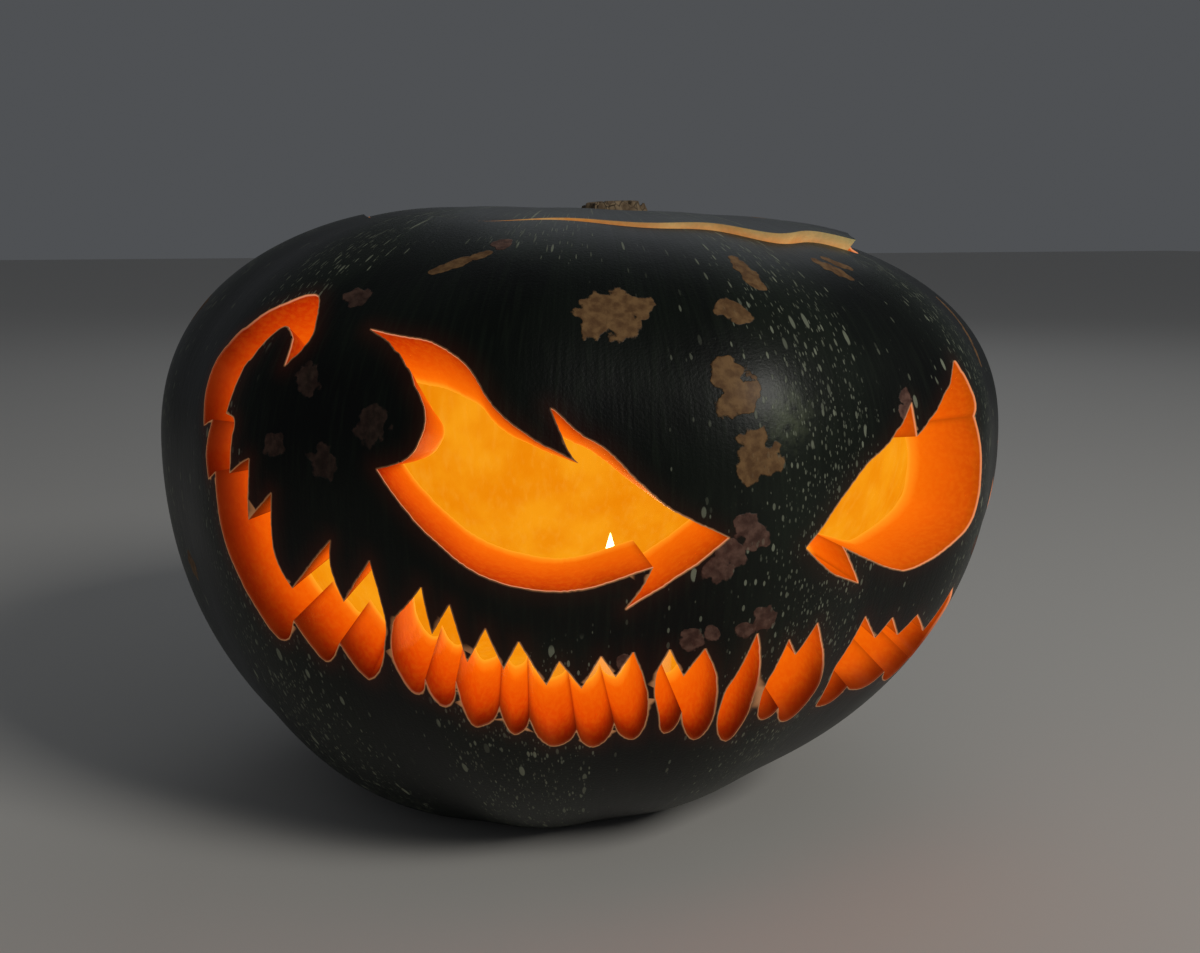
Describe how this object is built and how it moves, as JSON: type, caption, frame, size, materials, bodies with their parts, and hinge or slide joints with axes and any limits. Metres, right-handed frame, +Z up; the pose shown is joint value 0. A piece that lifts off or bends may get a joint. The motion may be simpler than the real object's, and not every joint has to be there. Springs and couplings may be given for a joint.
{
  "type": "carved squash lantern",
  "caption": "Hollow dark green squash carved with slanting eyes and a wide toothed grin, with its cut-out lid and a short candle inside.",
  "frame": {"origin": "centre of the lantern's box, on the surface it rests on", "axes": "+Z up along the growing axis, -Y the way the carved face looks, +X towards its right eye as a viewer sees it"},
  "size_m": [0.2412, 0.2401, 0.1695],
  "materials": {
    "rind": "semi-gloss speckled rind over orange flesh",
    "lid_rind": "semi-gloss speckled rind with a corky stem stub",
    "wax": "soft translucent wax",
    "wick": "charred cotton",
    "flame": "candle flame, seen only in the visual model"
  },
  "bodies": {
    "root": {"pumpkin_shell": "rind", "pumpkin_lid": "lid_rind", "candle": "wax", "candle_wick": "wick"}
  },
  "joints": []
}
